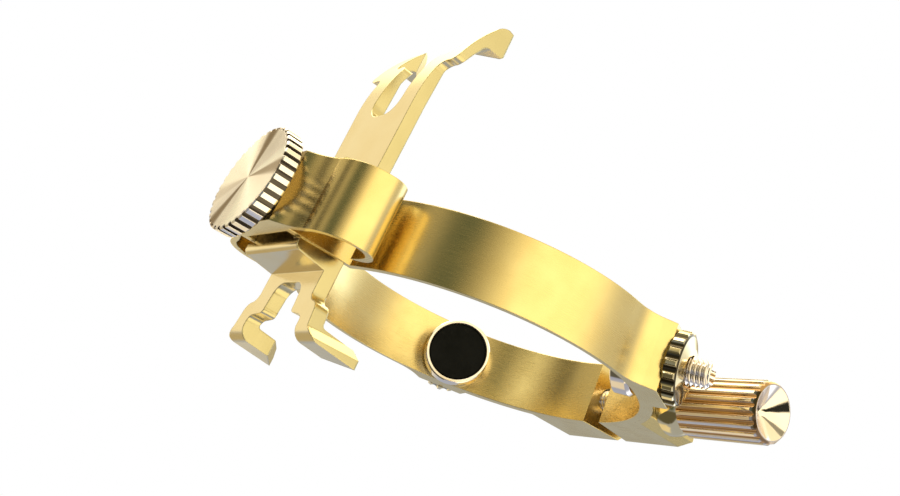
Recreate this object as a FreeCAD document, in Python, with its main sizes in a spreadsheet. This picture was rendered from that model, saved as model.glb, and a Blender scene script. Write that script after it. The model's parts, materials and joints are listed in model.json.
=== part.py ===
import FreeCAD, Part
import math
import os
import Sketcher
from FreeCAD import Placement, Rotation, Vector

# Saxophone ligature: a narrow sprung ring, a forked reed plate, two side pads and a thumbscrew.
# Millimetres. The origin is the centre of the ring, on the mouthpiece's axis. +Z runs along the
# mouthpiece, -Y points at the reed side and its knob, +X is the side with the thumbscrew's grip.

# Driving dimensions. Each is a cell of the sheet, and every sub-part is bound to these cells.
SIZES = {
    # the ring: an extrusion along Z, thin over the sides and thicker near the clamp
    "ring_inner": 14.5, "band_wall": 0.5, "strap_wall": 1.1, "band_width": 5.6, "split_angle": 16,
    # the saddle: hub, side walls and scrolls
    "hub_outer": 21.0, "hub_inner": 19.5, "hub_half": 3.1, "wall_outer": 3.6, "wall_inner": 3.0,
    "scroll_reach": 8.0, "scroll_tip": 5.0,
    # the clamp ears and their screw
    "ear_seat": 8.0, "ear_end": 19.9, "ear_chamfer": 0.8, "near_gap_root": 1.42, "near_gap_mouth": 0.55,
    "far_gap_root": 0.7, "far_gap_mouth": 0.35,
    "screw_line": 16.55, "shank_radius": 1.0, "shank_hole": 1.1, "shank_end": 5.5,
    "grip_radius": 2.6, "grip_start": 10.1, "grip_end": 18.6, "grip_socket": 13.0, "grip_flutes": 22,
    "dome_radius": 2.65, "dome_bore": 1.15,
    # the side pads, on axes this many degrees from the X axis towards +Y
    "pad_angle": 28.3, "pad_seat": 16.75, "pad_boss_half": 2.1, "cup_radius": 3.0, "cup_face": 12.65,
    "cup_back": 14.15, "pad_radius": 2.6, "pad_face": 12.8, "cup_floor": 13.65,
    "stud_radius": 1.15, "stud_hole": 1.2, "stud_end": 20.2,
    "nut_radius": 2.95, "nut_rim": 17.9, "nut_tip": 18.2, "nut_flutes": 18,
    # the reed plate: a block with a short fork below it and a long, gently bent fork above it
    "plate_half": 3.9, "plate_neck": 2.95, "plate_outer": 16.25, "plate_inner": 15.15,
    "block_outer": 18.85, "block_half": 4.0, "foot_low": 9.6, "foot_high": 19.45, "foot_tip": 12.1,
    "foot_outer": 6.2, "foot_inner": 3.95, "foot_wall": 1.2, "foot_slope": 0.4,
    "slot_half": 2.0, "slot_corner": 1.1, "floor_corner": 1.6, "slot_low": 4.9, "slot_high": 9.65,
    "bend_start": 10.5, "bend_radius": 14.2, "hook_start": 18.7, "hook_under": 16.9,
    # the plate's screw and knob
    "screw_radius": 1.25, "screw_hole": 1.3, "collar_radius": 1.9, "knob_radius": 4.2,
    "knob_back": 21.27, "knob_face": 22.57, "knob_ridges": 36,
    # the room left between pieces that turn or slide against each other
    "running_gap": 0.03,
}

doc = FreeCAD.newDocument("ligature")
sheet = doc.addObject("Spreadsheet::Sheet", "sizes")
for row, (alias, number) in enumerate(SIZES.items(), start=1):
    sheet.set("A%d" % row, alias)
    sheet.set("B%d" % row, str(number))
    sheet.setAlias("B%d" % row, alias)
doc.recompute()


class Size:
    """A number that remembers the sheet formula it came from."""

    def __init__(self, value, text=None):
        self.value = float(value)
        self.text = text or "%.6g" % value
        self.bound = text is not None

    def _with(self, other, value, sign):
        result = Size(value, "(%s %s %s)" % (self.text, sign, other.text))
        result.bound = self.bound or other.bound
        return result

    def __add__(self, other):
        other = as_size(other)
        return self._with(other, self.value + other.value, "+")

    def __sub__(self, other):
        other = as_size(other)
        return self._with(other, self.value - other.value, "-")

    def __mul__(self, other):
        other = as_size(other)
        return self._with(other, self.value * other.value, "*")

    def __truediv__(self, other):
        other = as_size(other)
        return self._with(other, self.value / other.value, "/")

    def __neg__(self):
        return self * -1


def as_size(number):
    return number if isinstance(number, Size) else Size(number)


def cell(alias):
    return Size(float(sheet.get(alias)), "sizes." + alias)


def cosine(degrees):
    return Size(math.cos(math.radians(degrees.value)), "cos(%s * 1 deg)" % degrees.text)


def sine(degrees):
    return Size(math.sin(math.radians(degrees.value)), "sin(%s * 1 deg)" % degrees.text)


def leg(hypotenuse, side):
    """The third side of a right triangle."""
    square = hypotenuse * hypotenuse - side * side
    return Size(math.sqrt(square.value), "sqrt(%s)" % square.text)


def polar(radius, degrees):
    """A point of the ring, its angle counted from -Y towards +X."""
    return radius * sine(degrees), -(radius * cosine(degrees))


def beside(along, across, degrees):
    """A point in the frame of a pad's axis, which leans this far from +X towards +Y."""
    x = along * cosine(degrees) - across * sine(degrees)
    y = along * sine(degrees) + across * cosine(degrees)
    return x, y


def flip(point, side):
    return point[0] * side, point[1]


def symmetric(right):
    """A whole outline from its right half, whose first and last points cross straight over."""
    stops = [step[0] for step in right]
    left = [(flip(stops[-1], -1),)]
    for step, stop in zip(reversed(right[1:]), reversed(stops[:-1])):
        if len(step) == 1:
            left.append((flip(stop, -1),))
        else:
            left.append((flip(stop, -1), flip(step[1], -1), step[2]))
    return left[-1][0], right + left


def new_body(name):
    body = doc.addObject("PartDesign::Body", name)
    body.Label = name
    return body


def new_sketch(body, name, role, offset=None):
    """An empty sketch on one of the body's own planes, raised by a bound offset."""
    sketch = body.newObject("Sketcher::SketchObject", name)
    plane = [item for item in body.Origin.OriginFeatures if item.Role == role][0]
    sketch.AttachmentSupport = [(plane, "")]
    sketch.MapMode = "FlatFace"
    if offset is not None:
        sketch.setExpression("AttachmentOffset.Base.z", offset.text)
    doc.recompute()
    return sketch


def bind(sketch, index, size):
    if size.bound:
        sketch.setExpression("Constraints[%d]" % index, size.text)


def fix_point(sketch, geometry, end, point):
    """Hold one end of an edge at a point, bound to the sheet."""
    for kind, size in zip(("DistanceX", "DistanceY"), point):
        index = sketch.addConstraint(Sketcher.Constraint(kind, -1, 1, geometry, end, size.value))
        bind(sketch, index, size)


def vector(point):
    return Vector(point[0].value, point[1].value, 0)


def draw_outline(sketch, start, steps):
    """A closed outline. A step is (end,) for a line, or (end, point on the arc, radius)."""
    here = start
    ends = []
    for step in steps:
        there = step[0]
        if len(step) == 1:
            edge = Part.LineSegment(vector(here), vector(there))
        else:
            edge = Part.Arc(vector(here), vector(step[1]), vector(there))
        geometry = sketch.addGeometry(edge, False)
        first = 1 if (sketch.getPoint(geometry, 1) - vector(here)).Length < 1e-6 else 2
        fix_point(sketch, geometry, first, here)
        if len(step) > 1:
            radius = step[2] or Size(sketch.Geometry[geometry].Radius)
            index = sketch.addConstraint(Sketcher.Constraint("Radius", geometry, radius.value))
            bind(sketch, index, radius)
        ends.append((geometry, first, 3 - first))
        here = there
    for one, other in zip(ends, ends[1:] + ends[:1]):
        sketch.addConstraint(Sketcher.Constraint("Coincident", one[0], one[2], other[0], other[1]))


def draw_lines(sketch, points):
    draw_outline(sketch, points[0], [(point,) for point in points[1:] + points[:1]])


def draw_circle(sketch, centre, radius):
    edge = Part.Circle(vector(centre), Vector(0, 0, 1), radius.value)
    geometry = sketch.addGeometry(edge, False)
    fix_point(sketch, geometry, 3, centre)
    index = sketch.addConstraint(Sketcher.Constraint("Radius", geometry, radius.value))
    bind(sketch, index, radius)


def add_pad(body, sketch, length):
    pad = body.newObject("PartDesign::Pad", sketch.Name + "_pad")
    pad.Profile = sketch
    pad.SideType = "Symmetric"
    pad.setExpression("Length", length.text)
    doc.recompute()
    return pad


def add_turning(body, sketch):
    turning = body.newObject("PartDesign::Revolution", sketch.Name + "_turning")
    turning.Profile = sketch
    turning.ReferenceAxis = (sketch, ["V_Axis"])
    turning.Angle = 360
    doc.recompute()
    return turning


def add_flutes(body, sketch, count):
    """Cut one groove right along the body and repeat it round the axis."""
    before = body.Shape.Volume
    groove = body.newObject("PartDesign::Pocket", sketch.Name + "_groove")
    groove.Profile = sketch
    groove.Type = "ThroughAll"
    groove.SideType = "Symmetric"
    doc.recompute()
    if groove.Shape.Volume >= before:
        raise RuntimeError("%s cuts nothing" % groove.Name)
    ring = body.newObject("PartDesign::PolarPattern", sketch.Name + "_pattern")
    axis = [item for item in body.Origin.OriginFeatures if item.Role == "Z_Axis"][0]
    ring.Originals = [groove]
    ring.Axis = (axis, [""])
    ring.Angle = 360
    ring.setExpression("Occurrences", count.text)
    body.Tip = ring
    doc.recompute()


def add_rod(name, radius, start, end, turn):
    """A cylinder along a turned Z axis, from start to end, both counted from the origin."""
    rod = doc.addObject("Part::Cylinder", name)
    rod.setExpression("Radius", radius.text)
    rod.setExpression("Height", (end - start).text)
    rod.Placement = Placement(turn.multVec(Vector(0, 0, start.value)), turn)
    return rod


def cut_rods(name, base, rods):
    holes = rods[0]
    if len(rods) > 1:
        holes = doc.addObject("Part::MultiFuse", name + "_holes")
        holes.Shapes = rods
    result = doc.addObject("Part::Cut", name)
    result.Label = name
    result.Base = base
    result.Tool = holes
    doc.recompute()
    return result


def turned_body(name, points, turn, side=None):
    """A body of revolution from (radius, distance along the axis) points."""
    body = new_body(name)
    sketch = new_sketch(body, name + "_profile", "XZ_Plane")
    draw_lines(sketch, [(as_size(radius), as_size(along)) for radius, along in points])
    add_turning(body, sketch)
    body.Placement = Placement(side or Vector(), turn)
    return body


OUTWARD = Rotation(Vector(0, 0, 1), Vector(0, -1, 0))
ALONG_X = Rotation(Vector(0, 0, 1), Vector(1, 0, 0))


def pad_turn(side):
    lean = math.radians(cell("pad_angle").value)
    return Rotation(Vector(0, 0, 1), Vector(side * math.cos(lean), math.sin(lean), 0))


def make_saddle():
    """Hub, two side walls that become the ring, and a scroll that curls back on each side."""
    hub, under = -cell("hub_outer"), -cell("hub_inner")
    wall, channel = cell("wall_outer"), cell("wall_inner")
    inner = cell("ring_inner")
    outer = inner + cell("band_wall")
    split = cell("split_angle")
    reach, tip = cell("scroll_reach"), cell("scroll_tip")
    # one side, from the middle of the hub round the scroll to the inner face of the wall
    right = [
        ((cell("hub_half"), hub),),
        ((reach - 2.7, hub + 1.45), (reach - 3.95, hub + 0.85), None),
        ((reach, hub + 4.3), (reach - 0.8, hub + 2.4), None),
        ((reach - 1.6, hub + 6.3), (reach - 0.35, hub + 5.7), None),
        ((tip, hub + 5.6), (tip + 0.6, hub + 6.12), None),
        ((reach - 1.35, hub + 5.7), (tip + 0.85, hub + 5.72), None),
        ((reach - 0.35, hub + 4.25), (reach - 0.55, hub + 5.1), None),
        ((reach - 2.9, hub + 1.85), (reach - 1.1, hub + 2.75), None),
        ((wall, under - 0.2), (wall + 0.8, under + 0.1), None),
        ((wall, -leg(outer, wall)),),
        (polar(outer, split), polar(outer, split - 1), outer),
        (polar(inner, split),),
        ((channel, -leg(inner, channel)), polar(inner, split - 1), inner),
        ((channel, under),),
    ]
    body = new_body("saddle_body")
    sketch = new_sketch(body, "saddle_outline", "XY_Plane")
    draw_outline(sketch, *symmetric(right))
    add_pad(body, sketch, cell("band_width"))
    bore = add_rod("hub_bore", cell("screw_hole"), cell("hub_inner") - 2, cell("hub_outer") + 2, OUTWARD)
    return cut_rods("saddle", body, [bore])


def make_half(name, side):
    """Half the ring with its pad boss and clamp ear. The side is +1 near +X and -1 near -X."""
    inner = cell("ring_inner")
    outer = inner + cell("band_wall")
    strap = inner + cell("strap_wall")
    lean = cell("pad_angle")
    begin = cell("split_angle") + 0.08
    half, seat = cell("pad_boss_half"), cell("pad_seat")
    ear, end = cell("ear_seat"), cell("ear_end")
    which = "near" if side > 0 else "far"
    root, mouth = cell(which + "_gap_root"), cell(which + "_gap_mouth")
    ramp = lean + 90 - 18.4
    shoulder = half + 0.3
    outline = [
        (polar(outer, ramp), polar(outer, lean + 30), outer),
        (beside(strap + 0.1, -(half + 0.65), lean), beside(strap - 0.79, -(half + 1.53), lean), None),
        (beside(seat, -half, lean),),
        (beside(seat, half, lean),),
        (beside(leg(strap, shoulder), shoulder, lean),),
        ((ear, leg(strap, ear)), polar(strap, lean + 110), strap),
        ((ear, end),),
        ((mouth, end),),
        ((root, leg(inner, root)),),
        (polar(inner, begin), polar(inner, lean + 70), inner),
        (polar(outer, begin),),
    ]
    steps = [tuple(flip(item, side) if isinstance(item, tuple) else item for item in step)
             for step in outline]
    body = new_body(name + "_body")
    sketch = new_sketch(body, name + "_outline", "XY_Plane")
    draw_outline(sketch, flip(polar(outer, begin), side), steps)
    pad = add_pad(body, sketch, cell("band_width"))
    chamfer = body.newObject("PartDesign::Chamfer", name + "_chamfer")
    chamfer.Base = (pad, ear_edges(pad.Shape, side))
    chamfer.setExpression("Size", cell("ear_chamfer").text)
    doc.recompute()
    stud_hole = add_rod(name + "_stud_hole", cell("stud_hole"), inner - 2, seat + 2, pad_turn(side))
    reach = cell("ear_seat") + 2
    screw_hole = add_rod(name + "_screw_hole", cell("shank_hole"), Size(0), reach, ALONG_X)
    offset = 0 if side > 0 else -reach.value
    screw_hole.Placement = Placement(Vector(offset, cell("screw_line").value, 0), ALONG_X)
    return cut_rods(name, body, [stud_hole, screw_hole])


def ear_edges(shape, side):
    """The ear's outer edges: two along Y beside the screw's seat and two along X at its end."""
    seat = side * cell("ear_seat").value
    end = cell("ear_end").value
    names = []
    for index, edge in enumerate(shape.Edges, start=1):
        points = [vertex.Point for vertex in edge.Vertexes]
        level = len(points) == 2 and abs(points[0].z - points[1].z) < 1e-6
        on_seat = all(abs(point.x - seat) < 1e-6 for point in points)
        on_end = all(abs(point.y - end) < 1e-6 for point in points)
        if level and (on_seat or on_end):
            names.append("Edge%d" % index)
    return names


def make_washer():
    """A domed washer, flat on the ear and round towards the grip."""
    body = new_body("ball_washer")
    base = cell("ear_seat") + cell("running_gap")
    radius, bore = cell("dome_radius"), cell("dome_bore")
    top = base + leg(radius, bore)
    middle = Size(0.7071)
    sketch = new_sketch(body, "washer_profile", "XZ_Plane")
    draw_outline(sketch, (bore, base), [
        ((radius, base),),
        ((bore, top), (radius * middle, base + radius * middle), radius),
        ((bore, base),),
    ])
    add_turning(body, sketch)
    body.Placement = Placement(Vector(0, cell("screw_line").value, 0), ALONG_X)
    return body


def make_grip():
    """The fluted grip, with a socket for the shank, a round seat and a coned end."""
    body = new_body("thumbscrew_grip")
    start, end = cell("grip_start"), cell("grip_end")
    radius, shank = cell("grip_radius"), cell("shank_radius")
    centre = cell("ear_seat") + cell("running_gap")
    hollow = cell("dome_radius") + cell("running_gap") * 2
    lip = leg(hollow, start - centre)
    deep = centre + leg(hollow, shank)
    middle = Size(1.55)
    sketch = new_sketch(body, "grip_profile", "XZ_Plane")
    draw_outline(sketch, (lip, start), [
        ((radius - 0.2, start),),
        ((radius, start + 0.2),),
        ((radius, end - 0.45),),
        ((radius - 0.3, end),),
        ((radius - 0.4, end),),
        ((Size(0), end - 1.6),),
        ((Size(0), cell("grip_socket")),),
        ((shank, cell("grip_socket")),),
        ((shank, deep),),
        ((lip, start), (middle, centre + leg(hollow, middle)), hollow),
    ])
    add_turning(body, sketch)
    flute = new_sketch(body, "grip_flute", "XY_Plane")
    draw_circle(flute, (radius + 0.06, Size(0)), Size(0.26))
    add_flutes(body, flute, cell("grip_flutes"))
    body.Placement = Placement(Vector(0, cell("screw_line").value, 0), ALONG_X)
    return body


def make_shank():
    """The screw itself: through the near ear and into the thread of the far ear."""
    socket, end = cell("grip_socket"), -cell("shank_end")
    radius = cell("shank_radius")
    points = [(0, end), (radius - 0.3, end), (radius, end + 0.3), (radius, socket), (0, socket)]
    return turned_body("thumbscrew_shank", points, ALONG_X, Vector(0, cell("screw_line").value, 0))


def make_pad_set(side_name, side):
    """Rubber pad, cup, stud and fluted nut on one side of the ring."""
    turn = pad_turn(side)
    face, back, floor = cell("cup_face"), cell("cup_back"), cell("cup_floor")
    rim, pad, stud = cell("cup_radius"), cell("pad_radius"), cell("stud_radius")
    cup = [
        (stud, floor), (pad, floor), (pad, face + 0.15), (pad + 0.1, face), (rim - 0.1, face),
        (rim, face + 0.1), (rim, back - 0.25), (rim - 0.25, back), (stud, back),
    ]
    turned_body(side_name + "_pad_cup", cup, turn)
    front = cell("pad_face")
    turned_body(side_name + "_pad_rubber", [(0, front), (pad - 0.1, front), (pad, front + 0.1),
                                            (pad, floor), (0, floor)], turn)
    end = cell("stud_end")
    turned_body(side_name + "_pad_stud", [(0, floor), (stud, floor), (stud, end - 0.3),
                                          (stud - 0.3, end), (0, end)], turn)
    seat = cell("pad_seat") + cell("running_gap")
    hole, outer = cell("stud_hole"), cell("nut_radius")
    nut = turned_body(side_name + "_pad_nut", [
        (hole, seat), (outer - 0.15, seat), (outer, seat + 0.15), (outer, cell("nut_rim") - 0.15),
        (outer - 0.3, cell("nut_rim")), (hole + 0.5, cell("nut_tip")), (hole, cell("nut_tip")),
    ], turn)
    flute = new_sketch(nut, side_name + "_nut_flute", "XY_Plane")
    draw_circle(flute, (outer + 0.2, Size(0)), Size(0.42))
    add_flutes(nut, flute, cell("nut_flutes"))


def make_side_view():
    """The plate seen along X: low feet turned in, the block, and the long fork's gentle bend."""
    outer, inner, block = -cell("plate_outer"), -cell("plate_inner"), -cell("block_outer")
    low, high, tip = -cell("foot_low"), cell("foot_high"), -cell("foot_tip")
    half, wall, slope = cell("block_half"), cell("foot_wall"), cell("foot_slope")
    start, radius = cell("bend_start"), cell("bend_radius")
    hook, under = cell("hook_start"), cell("hook_under")
    corner = Size(0.4)

    def bent(height):
        return outer + radius - leg(radius, height - start), height

    body = new_body("plate_side_view")
    sketch = new_sketch(body, "plate_side_outline", "YZ_Plane")
    draw_outline(sketch, (tip, low), [
        ((outer + 0.9, low + slope),),
        ((outer, low + slope + 1.0), (outer + 0.26, low + slope + 0.32), None),
        ((outer, -half - 0.1),),
        ((block + corner, -half + 0.25),),
        ((block, -half + 0.65), (block + 0.12, -half + 0.37), None),
        ((block, half - 0.65),),
        ((block + corner, half - 0.25), (block + 0.12, half - 0.37), None),
        ((outer, half + 0.1),),
        ((outer, start),),
        (bent(hook), bent((start + hook) / 2), radius),
        ((tip - 0.5, high), (tip - 1.08, high - 0.23), None),
        ((tip, high - 0.1),),
        ((tip, under + 0.15),),
        ((tip - 0.15, under),),
        ((tip - 1.3, under),),
        ((tip - 2.0, under - 0.65), (tip - 1.75, under - 0.2), None),
        ((inner + 0.1, under - 2.9), (tip - 2.62, under - 1.9), None),
        ((inner, start),),
        ((inner, low + slope + wall + 0.35),),
        ((inner + 0.3, low + slope + wall), (inner + 0.09, low + slope + wall + 0.09), None),
        ((tip, low + wall),),
        ((tip, low),),
    ])
    add_pad(body, sketch, cell("foot_outer") * 2 + 2)
    return body


def make_front_view():
    """The plate seen along Y: both forks, with their slots and their splayed feet."""
    low, high = -cell("foot_low"), cell("foot_high")
    wide, neck = cell("plate_half"), cell("plate_neck")
    notch = cell("band_width") / 2 + 0.12
    foot, gap = cell("foot_outer"), cell("foot_inner")
    slot, corner, wider = cell("slot_half"), cell("slot_corner"), cell("floor_corner")
    floor, roof = cell("slot_high"), -cell("slot_low")
    past, under = Size(0.2), cell("hook_under")
    round_off, wider_off = corner * (1 - 0.7071), wider * (1 - 0.7071)
    right = [
        ((slot - corner, roof),),
        ((slot, roof - corner), (slot - round_off, roof - round_off), corner),
        ((slot + 0.12, roof - 1.9),),
        ((slot + 0.55, roof - 2.4), (slot + 0.23, roof - 2.28), None),
        ((gap - 0.5, roof - 2.5),),
        ((gap, roof - 3.1), (gap - 0.13, roof - 2.7), None),
        ((gap, low - past),),
        ((foot, low - past),),
        ((foot, low + 0.65),),
        ((foot - 0.7, low + 1.35),),
        ((foot - 0.9, low + 2.4),),
        ((foot - 1.6, low + 3.2), (foot - 1.15, low + 2.95), None),
        ((wide, low + 4.1), (wide + 0.15, low + 3.5), None),
        ((wide, -notch),),
        ((neck, -notch),),
        ((neck, notch),),
        ((wide, notch),),
        ((wide + 0.25, under - 3.2),),
        ((foot - 1.0, under - 2.5), (wide + 0.55, under - 2.68), None),
        ((foot, under - 1.9), (foot - 0.22, under - 2.32), None),
        ((foot, high + past),),
        ((gap + 0.25, high + past),),
        ((gap + 0.25, under - 0.4),),
        ((gap - 0.8, under - 1.15), (gap, under - 0.97), None),
        ((slot + 0.05, under - 1.9), (slot + 0.3, under - 1.35), None),
        ((slot, floor + wider),),
        ((slot - wider, floor), (slot - wider_off, floor + wider_off), wider),
    ]
    body = new_body("plate_front_view")
    sketch = new_sketch(body, "plate_front_outline", "XZ_Plane")
    draw_outline(sketch, *symmetric(right))
    add_pad(body, sketch, cell("hub_outer") * 2)
    return body


def make_plan_view():
    """The plate seen along Z: the ends of the feet are cut off at a slant."""
    foot, gap, slot = cell("foot_outer"), cell("foot_inner"), cell("slot_half")
    back, tip = -cell("block_outer") - 1, -cell("foot_tip")
    body = new_body("plate_plan_view")
    sketch = new_sketch(body, "plate_plan_outline", "XY_Plane")
    draw_lines(sketch, [
        (-foot, back), (foot, back), (foot, tip), (gap, tip - 1.45), (slot, tip - 1.85),
        (-slot, tip - 1.85), (-gap, tip - 1.45), (-foot, tip),
    ])
    add_pad(body, sketch, cell("foot_high") * 2 + 2)
    return body


def make_plate():
    """The plate is what its three views have in common."""
    blank = make_side_view()
    for other in (make_front_view(), make_plan_view()):
        common = doc.addObject("Part::Common", "with_" + other.Name)
        common.Base = blank
        common.Tool = other
        blank = common
    doc.recompute()
    thread = add_rod("plate_thread", cell("screw_hole"), cell("plate_inner") - 2,
                     cell("block_outer") + 2, OUTWARD)
    return cut_rods("reed_plate", blank, [thread])


def make_knob():
    """The knurled knob that turns the plate's screw."""
    radius, screw = cell("knob_radius"), cell("screw_radius")
    back, face = cell("knob_back"), cell("knob_face")
    neck = cell("hub_outer") + cell("running_gap")
    body = turned_body("plate_knob", [
        (screw, neck), (cell("collar_radius"), neck), (cell("collar_radius"), back),
        (radius - 0.15, back), (radius, back + 0.15), (radius, face - 0.1), (radius - 0.1, face),
        (0, face), (0, face - 0.55), (screw, face - 0.55),
    ], OUTWARD)
    pitch = cell("knob_radius") * (2 * math.pi / cell("knob_ridges").value)
    groove = new_sketch(body, "knob_groove", "XY_Plane")
    half, depth = pitch * 0.24, 0.26
    draw_lines(groove, [
        (radius - depth, -half), (radius + depth, -half), (radius + depth, half), (radius - depth, half),
    ])
    add_flutes(body, groove, cell("knob_ridges"))
    return body


def make_plate_screw():
    """The screw that lifts the plate. Its collar sits under the hub, so it only turns."""
    screw, collar = cell("screw_radius"), cell("collar_radius")
    end = cell("plate_inner") + 0.3
    under = cell("hub_inner") - cell("running_gap")
    top = cell("knob_face") - 0.55
    return turned_body("plate_screw", [
        (0, end), (screw - 0.25, end), (screw, end + 0.25), (screw, under - 0.4), (collar, under - 0.4),
        (collar, under), (screw, under), (screw, top), (0, top),
    ], OUTWARD)


NODES = [
    "saddle", "near_half_band", "far_half_band", "reed_plate", "plate_knob", "plate_screw",
    "thumbscrew_grip", "thumbscrew_shank", "ball_washer",
    "near_pad_cup", "near_pad_rubber", "near_pad_stud", "near_pad_nut",
    "far_pad_cup", "far_pad_rubber", "far_pad_stud", "far_pad_nut",
]


def build():
    make_saddle()
    make_half("near_half_band", 1)
    make_half("far_half_band", -1)
    make_plate()
    make_knob()
    make_plate_screw()
    make_grip()
    make_shank()
    make_washer()
    make_pad_set("near", 1)
    make_pad_set("far", -1)
    doc.recompute()


def check():
    for item in doc.Objects:
        if "Invalid" in item.State or "Error" in item.State:
            raise RuntimeError("%s failed: %s" % (item.Label, item.State))
    for name in NODES:
        shape = doc.getObject(name).Shape
        if shape.isNull() or not shape.isValid() or len(shape.Solids) != 1:
            raise RuntimeError("%s isn't one sound solid" % name)
        print("%-18s %8.2f mm3" % (name, shape.Volume))


def export():
    os.makedirs("parts", exist_ok=True)
    for name in NODES:
        doc.getObject(name).Shape.exportStep("parts/%s.step" % name)


build()
check()
export()
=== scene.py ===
import json
import math

import bmesh
import bpy
from mathutils import Matrix, Vector


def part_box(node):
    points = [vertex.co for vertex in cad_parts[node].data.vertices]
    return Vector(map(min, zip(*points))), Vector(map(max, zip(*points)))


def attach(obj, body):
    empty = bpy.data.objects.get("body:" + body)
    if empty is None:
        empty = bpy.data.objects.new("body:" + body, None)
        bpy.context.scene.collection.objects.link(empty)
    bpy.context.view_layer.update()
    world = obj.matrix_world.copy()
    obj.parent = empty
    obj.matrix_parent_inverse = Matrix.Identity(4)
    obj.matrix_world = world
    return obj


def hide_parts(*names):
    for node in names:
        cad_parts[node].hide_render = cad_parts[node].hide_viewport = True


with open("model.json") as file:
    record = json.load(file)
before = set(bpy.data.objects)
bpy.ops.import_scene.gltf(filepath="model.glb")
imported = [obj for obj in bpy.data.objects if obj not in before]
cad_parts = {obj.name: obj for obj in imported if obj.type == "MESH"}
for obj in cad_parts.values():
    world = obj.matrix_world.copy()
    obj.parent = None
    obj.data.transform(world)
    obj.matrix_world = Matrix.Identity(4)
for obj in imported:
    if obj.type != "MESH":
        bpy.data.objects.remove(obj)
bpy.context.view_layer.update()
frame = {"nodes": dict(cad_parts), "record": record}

# Looks for a gold saxophone ligature: brushed band and plate, polished screws and nuts, rubber pads.
# Metres, in the same frame as the solids: +Z along the mouthpiece, -Y towards the reed plate's knob.

RECORD = frame["record"]
SCENE = bpy.context.scene
MM = 0.001


# ---------------------------------------------------------------- node helpers

class Graph:
    """A node tree with short ways to add and join nodes."""

    def __init__(self, tree):
        self.tree = tree
        tree.nodes.clear()

    def add(self, kind, inputs=None, **settings):
        node = self.tree.nodes.new(kind)
        for key, value in settings.items():
            setattr(node, key, value)
        for key, value in (inputs or {}).items():
            self.feed(node.inputs[key], value)
        return node

    def feed(self, socket, value):
        if isinstance(value, bpy.types.NodeSocket):
            self.tree.links.new(value, socket)
        else:
            socket.default_value = value

    def math(self, operation, *values):
        return self.add("ShaderNodeMath", dict(enumerate(values)), operation=operation).outputs[0]

    def join(self, x, y, z):
        return self.add("ShaderNodeCombineXYZ", {0: x, 1: y, 2: z}).outputs[0]

    def noise(self, vector, scale=1.0, detail=3.0, rough=0.55):
        node = self.add("ShaderNodeTexNoise", {"Vector": vector, "Scale": scale, "Detail": detail,
                                               "Roughness": rough})
        return node.outputs["Fac"]

    def spread(self, value, low, high, start=0.3, end=0.7, smooth=False):
        node = self.add("ShaderNodeMapRange", {"Value": value, "From Min": start, "From Max": end,
                                               "To Min": low, "To Max": high})
        if smooth:
            node.interpolation_type = "SMOOTHSTEP"
        return node.outputs["Result"]

    def blend(self, factor, first, second):
        node = self.add("ShaderNodeMix", data_type="RGBA")
        self.feed(node.inputs[0], factor)
        self.feed(node.inputs[6], first)
        self.feed(node.inputs[7], second)
        return node.outputs[2]

    def place(self):
        """The point in the object's own frame, in millimetres, as X, Y and Z."""
        point = self.add("ShaderNodeTexCoord").outputs["Object"]
        grown = self.add("ShaderNodeVectorMath", {0: point, 1: (1000, 1000, 1000)}, operation="MULTIPLY")
        parts = self.add("ShaderNodeSeparateXYZ", {0: grown.outputs[0]})
        return grown.outputs[0], parts.outputs


RING_RADIUS = 14.5


def round_ring(graph, parts):
    """Coordinates that follow the ring: distance from the axis, distance round it, height."""
    radius = graph.math("SQRT", graph.math("ADD", graph.math("MULTIPLY", parts[0], parts[0]),
                                           graph.math("MULTIPLY", parts[1], parts[1])))
    angle = graph.math("ARCTAN2", parts[0], parts[1])
    return radius, graph.math("MULTIPLY", angle, RING_RADIUS), parts[2]


def along(graph, parts, direction, centre):
    """Coordinates of a turned piece: distance along its axis and distance from it."""
    shift = [graph.math("SUBTRACT", parts[i], centre[i]) for i in range(3)]
    terms = [graph.math("MULTIPLY", shift[i], direction[i]) for i in range(3)]
    length = graph.math("ADD", graph.math("ADD", terms[0], terms[1]), terms[2])
    squares = [graph.math("MULTIPLY", value, value) for value in shift]
    whole = graph.math("ADD", graph.math("ADD", squares[0], squares[1]), squares[2])
    away = graph.math("SQRT", graph.math("MAXIMUM", graph.math(
        "SUBTRACT", whole, graph.math("MULTIPLY", length, length)), 0.0))
    return length, away


# ---------------------------------------------------------------- materials

# each metal has a tone and a deeper one that clouds it
GOLD, GOLD_DEEP = (0.84, 0.68, 0.33, 1), (0.79, 0.62, 0.28, 1)
PLATED, PLATED_DEEP = (0.83, 0.74, 0.53, 1), (0.81, 0.70, 0.46, 1)
CUT, CUT_DEEP = (0.61, 0.53, 0.31, 1), (0.58, 0.50, 0.28, 1)
PALE, PALE_DEEP = (0.95, 0.90, 0.92, 1), (0.91, 0.85, 0.85, 1)
BRIGHT, BRIGHT_DEEP = (0.85, 0.80, 0.80, 1), (0.83, 0.74, 0.69, 1)
RICH, RICH_DEEP = (0.85, 0.74, 0.50, 1), (0.82, 0.69, 0.42, 1)
RUBBER, RUBBER_WORN = (0.003, 0.0035, 0.0032, 1), (0.007, 0.0075, 0.007, 1)
# painted shade for the bottoms of grooves: a dark one, and a copper one for the thumbscrew's grip
DARK_GROOVE_SHADE, COPPER_GROOVE_SHADE = (0.03, 0.02, 0.01, 1), (0.42, 0.24, 0.10, 1)
# painted reflection: the colours of the dark and the pale rays on the knob's face
PAINTED_RAY_SHADE, PAINTED_RAY_HIGHLIGHT = (0.22, 0.14, 0.07, 1), (1.0, 1.0, 1.0, 1)

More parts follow.
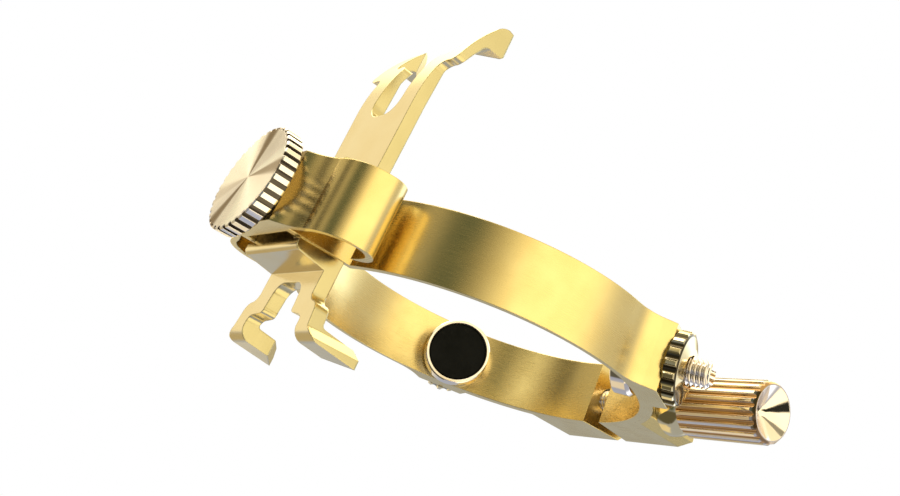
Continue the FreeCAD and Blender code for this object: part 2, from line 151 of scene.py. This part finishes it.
# The painted reflection on the knob's face, as rays painted into its colour: its dark ones, then its
# pale ones. Each is the angle in degrees from +X towards +Z, half width, soft edge and depth.
PAINTED_RAYS = (((92, 2, 13, 0.95), (8, 1, 12, 0.8), (241, 2, 12, 0.95), (196, 1, 14, 0.3)),
       ((126, 0.5, 16, 0.8), (26, 0.5, 12, 0.9), (178, 0.5, 14, 0.5), (290, 0.5, 16, 0.8)))

# roughness of the least and the most scratched spots, strength of the bump, and edge radius in mm
BRUSHED = ((0.2, 0.29), 0.15, 0.1)
SATIN = ((0.14, 0.22), 0.12, 0.14)
POLISHED = ((0.05, 0.1), 0.15, 0.05)
SPUN_ROUGHNESS = 0.2
SPUN_GRAIN = 0.95


def new_material(name):
    material = bpy.data.materials.new(name)
    material.use_nodes = True
    return material, Graph(material.node_tree)


def finish_metal(graph, light, deep, scratch, cloud, polish, shade=None, spun=None, painted_rays=None,
                 groove_shade_colour=DARK_GROOVE_SHADE):
    """Join a metal's colour, roughness and bump from a scratch pattern and a soft cloud.

    shade is painted shade at the bottoms of grooves and on a knob's back, in the last argument's
    colour. spun is where a face was turned, and the rays there are a painted reflection, as how far
    each point leans to the dark and to the pale tone.
    """
    rough, bump, edge = polish
    colour = graph.blend(graph.spread(cloud, 0.0, 1.0), light, deep)
    # painted reflection: dark and pale rays painted into the spun face's colour
    if painted_rays is not None:
        colour = graph.blend(graph.math("MULTIPLY", painted_rays[0], spun), colour, PAINTED_RAY_SHADE)
        colour = graph.blend(graph.math("MULTIPLY", painted_rays[1], spun), colour, PAINTED_RAY_HIGHLIGHT)
    # painted shade: the groove bottoms and the knob's back blend towards a darker colour
    if shade is not None:
        colour = graph.blend(shade, colour, groove_shade_colour)
    blur = graph.math("ADD", graph.spread(scratch, *rough), graph.spread(cloud, -0.02, 0.03))
    if spun is not None:
        blur = graph.math("ADD", blur, graph.math("MULTIPLY", spun, SPUN_ROUGHNESS))
    rounded = graph.add("ShaderNodeBevel", {"Radius": edge * MM}, samples=6)
    relief = graph.add("ShaderNodeBump", {"Strength": bump, "Distance": 0.01 * MM, "Height": scratch,
                                          "Normal": rounded.outputs[0]})
    shader = graph.add("ShaderNodeBsdfPrincipled", {
        "Base Color": colour, "Metallic": 1.0, "Roughness": blur, "Normal": relief.outputs[0]})
    if spun is not None:
        shader.inputs["Anisotropic"].default_value = SPUN_GRAIN
        tangent = graph.add("ShaderNodeTangent", direction_type="RADIAL", axis="Y")
        graph.feed(shader.inputs["Tangent"], tangent.outputs[0])
    graph.add("ShaderNodeOutputMaterial", {"Surface": shader.outputs[0]})


def band_material(name):
    """Brushed round the ring, lacquered gold."""
    material, graph = new_material(name)
    point, parts = graph.place()
    radius, around, height = round_ring(graph, parts)
    lines = graph.join(graph.math("MULTIPLY", radius, 9.0), graph.math("MULTIPLY", around, 0.35),
                       graph.math("MULTIPLY", height, 16.0))
    scratch = graph.noise(lines, 1.6, 4.0, 0.65)
    cloud = graph.noise(point, 0.35, 2.0)
    finish_metal(graph, GOLD, GOLD_DEEP, scratch, cloud, BRUSHED)
    return material


def plate_material(name):
    """Brushed along the mouthpiece, pale gold, and darker on its cut sides."""
    material, graph = new_material(name)
    point, parts = graph.place()
    lines = graph.join(graph.math("MULTIPLY", parts[0], 14.0), graph.math("MULTIPLY", parts[1], 14.0),
                       graph.math("MULTIPLY", parts[2], 0.5))
    scratch = graph.noise(lines, 1.4, 4.0, 0.6)
    cloud = graph.noise(point, 0.3, 2.0)
    normal = graph.add("ShaderNodeTexCoord").outputs["Normal"]
    sideways = graph.math("ABSOLUTE", graph.add("ShaderNodeSeparateXYZ", {0: normal}).outputs[0])
    cut = graph.spread(sideways, 0.0, 1.0, 0.5, 0.8)
    finish_metal(graph, graph.blend(cut, PLATED, CUT), graph.blend(cut, PLATED_DEEP, CUT_DEEP),
                 scratch, cloud, SATIN)
    return material


def make_painted_rays(graph, parts, centre):
    """The painted reflection of a spun face that lies across Y: how dark and how pale each point is."""
    x = graph.math("SUBTRACT", parts[0], centre[0])
    z = graph.math("SUBTRACT", parts[2], centre[2])
    reach = graph.math("MAXIMUM", graph.math("SQRT", graph.math("ADD", graph.math(
        "MULTIPLY", x, x), graph.math("MULTIPLY", z, z))), 0.05)
    tones = []
    for rays in PAINTED_RAYS:
        tone = 0.0
        for angle, half, soft, depth in rays:
            aim = math.radians(angle)
            across = graph.math("ADD", graph.math("MULTIPLY", x, math.cos(aim)),
                                graph.math("MULTIPLY", z, math.sin(aim)))
            cosine = graph.math("DIVIDE", across, reach)
            ray = graph.spread(cosine, 0.0, depth, math.cos(math.radians(half + soft)),
                               math.cos(math.radians(half)), True)
            tone = graph.math("MAXIMUM", tone, ray)
        tones.append(tone)
    return tones


def turned_material(name, direction, centre, light, deep, groove=None, face=None, groove_shade_colour=DARK_GROOVE_SHADE):
    """Turned on a lathe: fine rings round the piece's axis.

    groove is the radius of a groove's bottom and of the crest beside it, in millimetres, and the last
    argument is the colour of the painted shade at its bottom. face is how far along its axis the
    piece's spun face lies; rays of painted reflection lie on that face, and painted shade darkens the
    piece's back on the other side.
    """
    material, graph = new_material(name)
    point, parts = graph.place()
    length, away = along(graph, parts, direction, centre)
    lines = graph.join(graph.math("MULTIPLY", length, 12.0), graph.math("MULTIPLY", away, 12.0), 0.0)
    scratch = graph.noise(lines, 1.5, 4.0, 0.6)
    cloud = graph.noise(point, 0.5, 2.0)
    shade = spun = painted_rays = None
    if face is not None:
        spun = graph.spread(length, 1.0, 0.0, face + 0.03, face + 0.09)
        # a painted reflection of rays on the spun face
        painted_rays = make_painted_rays(graph, parts, centre)
    if groove is not None:
        # painted shade, dark from the bottom of the groove outwards, and fading to nothing at the crest
        floor, crest = groove
        shade = graph.math("MULTIPLY", graph.spread(away, 0.0, 1.0, floor - 0.14, floor - 0.08),
                           graph.spread(away, 0.94, 0.0, floor + 0.04, crest - 0.05, True))
        if face is not None:
            shade = graph.math("MULTIPLY", shade, graph.math("SUBTRACT", 1.0, spun))
            # painted shade on the back of the piece, the side towards the hub
            back = graph.spread(length, 0.0, 0.6, -face - 0.3, -face - 0.27)
            shade = graph.math("MAXIMUM", shade, back)
    finish_metal(graph, light, deep, scratch, cloud, POLISHED, shade, spun, painted_rays, groove_shade_colour)
    return material


def rubber_material(name):
    """Matt black rubber with a fine grain."""
    material, graph = new_material(name)
    point, parts = graph.place()
    grain = graph.noise(point, 9.0, 5.0, 0.7)
    cloud = graph.noise(point, 0.8, 2.0)
    colour = graph.blend(graph.spread(cloud, 0.0, 1.0), RUBBER, RUBBER_WORN)
    relief = graph.add("ShaderNodeBump", {"Strength": 0.5, "Distance": 0.02 * MM, "Height": grain})
    shader = graph.add("ShaderNodeBsdfPrincipled", {
        "Base Color": colour, "Roughness": graph.spread(grain, 0.6, 0.8), "Normal": relief.outputs[0]})
    shader.inputs["Specular IOR Level"].default_value = 0.12
    graph.add("ShaderNodeOutputMaterial", {"Surface": shader.outputs[0]})
    return material


def give(item, material):
    item.data.materials.clear()
    item.data.materials.append(material)


# ---------------------------------------------------------------- threads

PITCH = 0.4 * MM
DEPTH = 0.2 * MM
CHAMFER = 0.3 * MM
# points round a thread, and rings of points in each turn of it
AROUND = 56
RINGS_A_TURN = 12
# half the width of a crest, and the width of a flank, as parts of half a turn
FLAT, FLANK = 0.12, 0.72

PAD_AXES = {side: -Vector(mount["axis"]).normalized() for side in ("near", "far")
            for mount in RECORD["mounts"] if mount["name"] == side + "_pad_face"}


def node_middle(node):
    low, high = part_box(node)
    return (Vector(low) + Vector(high)) / 2, Vector(high) - Vector(low)


def thread_radius(turns, crest):
    """A V thread with a flat crest and root."""
    ramp = abs(turns % 1.0 * 2 - 1)
    return crest - DEPTH * min(max((ramp - FLAT) / FLANK, 0.0), 1.0)


def threaded_rod(name, middle, axis, length, crest):
    """A rod with a right-handed thread and chamfered ends."""
    rings = int(length / PITCH * RINGS_A_TURN)
    turn = axis.to_track_quat("Z", "Y").to_matrix().to_4x4()
    place = Matrix.Translation(middle) @ turn
    mesh = bmesh.new()
    rows = []
    for ring in range(rings + 1):
        height = length * (ring / rings - 0.5)
        end = length / 2 - abs(height)
        limit = crest - max(CHAMFER - end, 0)
        row = []
        for step in range(AROUND):
            angle = 2 * math.pi * step / AROUND
            radius = min(thread_radius(height / PITCH - step / AROUND, crest), limit)
            spot = Vector((radius * math.cos(angle), radius * math.sin(angle), height))
            row.append(mesh.verts.new(place @ spot))
        rows.append(row)
    for low, high in zip(rows, rows[1:]):
        for step in range(AROUND):
            after = (step + 1) % AROUND
            mesh.faces.new((low[step], low[after], high[after], high[step]))
    mesh.faces.new(list(reversed(rows[0])))
    mesh.faces.new(rows[-1])
    data = bpy.data.meshes.new(name)
    mesh.to_mesh(data)
    mesh.free()
    for face in data.polygons:
        face.use_smooth = len(face.vertices) == 4
    item = bpy.data.objects.new(name, data)
    SCENE.collection.objects.link(item)
    return item


def make_threads():
    """The three threaded rods that show: both pads' studs and the thumbscrew's shank."""
    made = {}
    for side, axis in PAD_AXES.items():
        node = side + "_pad_stud"
        middle, size = node_middle(node)
        crest = size.z / 2
        # a leaning rod's box is wider than the rod by its ends' tilt; the chamfer at the solid's
        # outer end makes the box, and so this length, a little short
        length = (size.x - 2 * crest * abs(axis.y)) / abs(axis.x)
        made[node] = threaded_rod(node + "_thread", middle, axis, length, crest)
        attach(made[node], side + "_pad")
    middle, size = node_middle("thumbscrew_shank")
    shank = threaded_rod("thumbscrew_shank_thread", middle, Vector((1, 0, 0)), size.x, size.z / 2)
    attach(shank, "thumbscrew")
    made["thumbscrew_shank"] = shank
    for node, item in made.items():
        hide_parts(node)
    return made


# ---------------------------------------------------------------- put the looks on

# depth of the grooves round the pieces that fingers turn, in millimetres
GROOVES = {"plate_knob": 0.26, "thumbscrew_grip": 0.2, "near_pad_nut": 0.22, "far_pad_nut": 0.22}
# the turned pieces whose metal isn't the bright one
TONES = {"plate_knob": (PALE, PALE_DEEP), "near_pad_nut": (RICH, RICH_DEEP),
         "far_pad_nut": (RICH, RICH_DEEP), "ball_washer": (RICH, RICH_DEEP)}


def dress(threads):
    """Give every node, and the thread that stands for it, its own material."""
    axes = {"thumbscrew_grip": Vector((1, 0, 0)), "thumbscrew_shank": Vector((1, 0, 0)),
            "ball_washer": Vector((1, 0, 0)), "plate_knob": Vector((0, 1, 0)),
            "plate_screw": Vector((0, 1, 0))}
    for side, axis in PAD_AXES.items():
        for piece in ("cup", "stud", "nut"):
            axes["%s_pad_%s" % (side, piece)] = axis
    for node, item in frame["nodes"].items():
        if node.endswith("_rubber"):
            material = rubber_material(node + "_finish")
        elif node == "reed_plate":
            material = plate_material(node + "_finish")
        elif node in axes:
            middle, size = node_middle(node)
            crest = size.z / 2 / MM
            depth = GROOVES.get(node)
            groove = (crest - depth, crest) if depth else None
            light, deep = TONES.get(node, (BRIGHT, BRIGHT_DEEP))
            face = -size.y / 2 / MM if node == "plate_knob" else None
            # the painted groove shade: copper on the thumbscrew's grip, dark on the rest
            groove_shade_colour = COPPER_GROOVE_SHADE if node == "thumbscrew_grip" else DARK_GROOVE_SHADE
            material = turned_material(node + "_finish", axes[node], middle / MM, light, deep,
                                       groove, face, groove_shade_colour)
        else:
            material = band_material(node + "_finish")
        give(item, material)
        if node in threads:
            give(threads[node], material)


# ---------------------------------------------------------------- studio

# What the metal sees, laid over one another in order. Azimuth 0 is -Y and 90 is +X. Each row is
# azimuth, elevation, half width, half height, soft edge across, soft edge up and down, colour.
PANELS = [
    (0, -90, 180, 78, 1, 14, (0.44, 0.47, 0.53)),       # the dim room below
    (0, 90, 180, 48, 1, 16, (1.30, 1.12, 0.64)),        # the bright ceiling
    (-100, 54, 55, 18, 25, 14, (2.95, 2.6, 1.6)),       # high softbox on the left
    (-82, 10, 24, 18, 14, 12, (1.10, 0.95, 0.61)),      # wide pale card on the left
    (140, 12, 14, 30, 18, 12, (0.71, 0.68, 0.58)),      # cream wall behind on the right
    (90, 12, 17, 32, 29, 12, (1.72, 1.54, 0.98)),       # main softbox on the right
    (180, 12, 5, 30, 26, 12, (1.83, 2.0, 2.1)),         # tall softbox behind
    (25, 10, 6, 40, 17, 12, (0.10, 0.12, 0.08)),        # dark flag
    (-13, 10, 4, 40, 9, 12, (0.13, 0.12, 0.08)),        # narrow dark flag
    (0, -62, 60, 20, 16, 9, (0.12, 0.11, 0.07)),        # black cloth under the front
    (-60, -30, 34, 10, 14, 8, (0.56, 0.45, 0.24)),      # warm card low on the left
    (115, -42, 26, 14, 12, 8, (1.95, 1.7, 1.05)),       # low reflector on the right
    (-115, -58, 20, 12, 12, 8, (0.92, 0.8, 0.52)),      # low reflector on the left
    (80, -20, 15, 8, 6, 5, (0.03, 0.03, 0.02)),         # small black card on the right
    (78, 46, 15, 6, 7, 4, (0.40, 0.36, 0.22)),          # small dim card on the right
]
# the rest of the room
ROOM = (0.53, 0.46, 0.285)


def seen_panel(graph, parts, level, height, panel):
    """1 inside a panel of the room, falling softly to 0 beyond its edges."""
    azimuth, elevation, half_width, half_height, soft_width, soft_height, colour = panel
    aim = math.radians(azimuth)
    across = graph.math("ADD", graph.math("MULTIPLY", parts[0], math.sin(aim)),
                        graph.math("MULTIPLY", parts[1], -math.cos(aim)))
    cosine = graph.math("MAXIMUM", graph.math("MINIMUM", graph.math("DIVIDE", across, level), 1.0), -1.0)
    aside = graph.math("MULTIPLY", graph.math("ARCCOSINE", cosine), math.degrees(1))
    above = graph.math("ABSOLUTE", graph.math("SUBTRACT", height, elevation))
    wide = graph.spread(aside, 1.0, 0.0, half_width, half_width + soft_width, True)
    tall = graph.spread(above, 1.0, 0.0, half_height, half_height + soft_height, True)
    return graph.math("MULTIPLY", wide, tall)


def make_world():
    """The room that the metal sees. The camera itself sees plain white behind the object."""
    world = bpy.data.worlds.new("studio")
    world.use_nodes = True
    SCENE.world = world
    graph = Graph(world.node_tree)
    direction = graph.add("ShaderNodeTexCoord").outputs["Generated"]
    parts = graph.add("ShaderNodeSeparateXYZ", {0: direction}).outputs
    level = graph.math("SQRT", graph.math("MAXIMUM", graph.math(
        "SUBTRACT", 1.0, graph.math("MULTIPLY", parts[2], parts[2])), 1e-6))
    height = graph.math("MULTIPLY", graph.math("ARCSINE", parts[2]), math.degrees(1))
    colour = (*ROOM, 1)
    for panel in PANELS:
        factor = seen_panel(graph, parts, level, height, panel)
        colour = graph.blend(factor, colour, (*panel[-1], 1))
    room = graph.add("ShaderNodeBackground", {"Color": colour, "Strength": 1.0})
    plain = graph.add("ShaderNodeBackground", {"Color": (1, 1, 1, 1), "Strength": 1.0})
    seen = graph.add("ShaderNodeLightPath").outputs["Is Camera Ray"]
    mix = graph.add("ShaderNodeMixShader", {0: seen, 1: room.outputs[0], 2: plain.outputs[0]})
    graph.add("ShaderNodeOutputWorld", {"Surface": mix.outputs[0]})


FLOOR_HALF, FLOOR_LEVEL = 0.19, -27 * MM
FLOOR_PAINT, FLOOR_CLOUD = (0.48, 0.53, 0.75, 1), (0.51, 0.56, 0.78, 1)


def make_floor():
    """A pale floor below the object. Its paint is bluish, because the room's light is warm."""
    material, graph = new_material("floor_paint")
    point, parts = graph.place()
    grain = graph.noise(point, 0.02, 3.0)
    colour = graph.blend(graph.spread(grain, 0.0, 1.0), FLOOR_PAINT, FLOOR_CLOUD)
    shader = graph.add("ShaderNodeBsdfPrincipled", {"Base Color": colour, "Roughness": 0.8})
    graph.add("ShaderNodeOutputMaterial", {"Surface": shader.outputs[0]})
    corners = [(x * FLOOR_HALF, y * FLOOR_HALF, FLOOR_LEVEL)
               for x, y in ((-1, -1), (1, -1), (1, 1), (-1, 1))]
    data = bpy.data.meshes.new("floor")
    data.from_pydata(corners, [], [(0, 1, 2, 3)])
    floor = bpy.data.objects.new("floor", data)
    SCENE.collection.objects.link(floor)
    give(floor, material)
    floor.visible_glossy = False


def make_camera():
    """The camera looks up at the object from its reed side, and its shift frames it."""
    camera = bpy.data.cameras.new("camera")
    camera.sensor_width = 36
    camera.lens = 39.66
    camera.shift_x = -0.2556
    camera.shift_y = -0.0644
    camera.clip_start = 0.002
    camera.clip_end = 10
    item = bpy.data.objects.new("camera", camera)
    SCENE.collection.objects.link(item)
    right = Vector((0.73806376, 0.60641478, 0.29584286))
    up = Vector((0.09305834, -0.52575696, 0.84552928))
    back = right.cross(up)
    turn = Matrix((right, up, back)).transposed().to_4x4()
    item.matrix_world = Matrix.Translation(Vector((67.945, -44.924, -22.474)) * MM) @ turn
    SCENE.camera = item


def make_light(name, where, aim, size, power):
    """A soft rectangle of light that points at a spot."""
    light = bpy.data.lights.new(name, "AREA")
    light.shape = "RECTANGLE"
    light.size, light.size_y = size
    light.energy = power
    item = bpy.data.objects.new(name, light)
    SCENE.collection.objects.link(item)
    spot = Vector(where)
    turn = (Vector(aim) - spot).to_track_quat("-Z", "Y").to_matrix().to_4x4()
    item.matrix_world = Matrix.Translation(spot) @ turn


threads = make_threads()
dress(threads)
make_world()
make_floor()
make_camera()
make_light("key", (-0.12, -0.2, 0.45), (0, 0, 0), (0.35, 0.25), 0.6)
SCENE.view_settings.view_transform = "Standard"
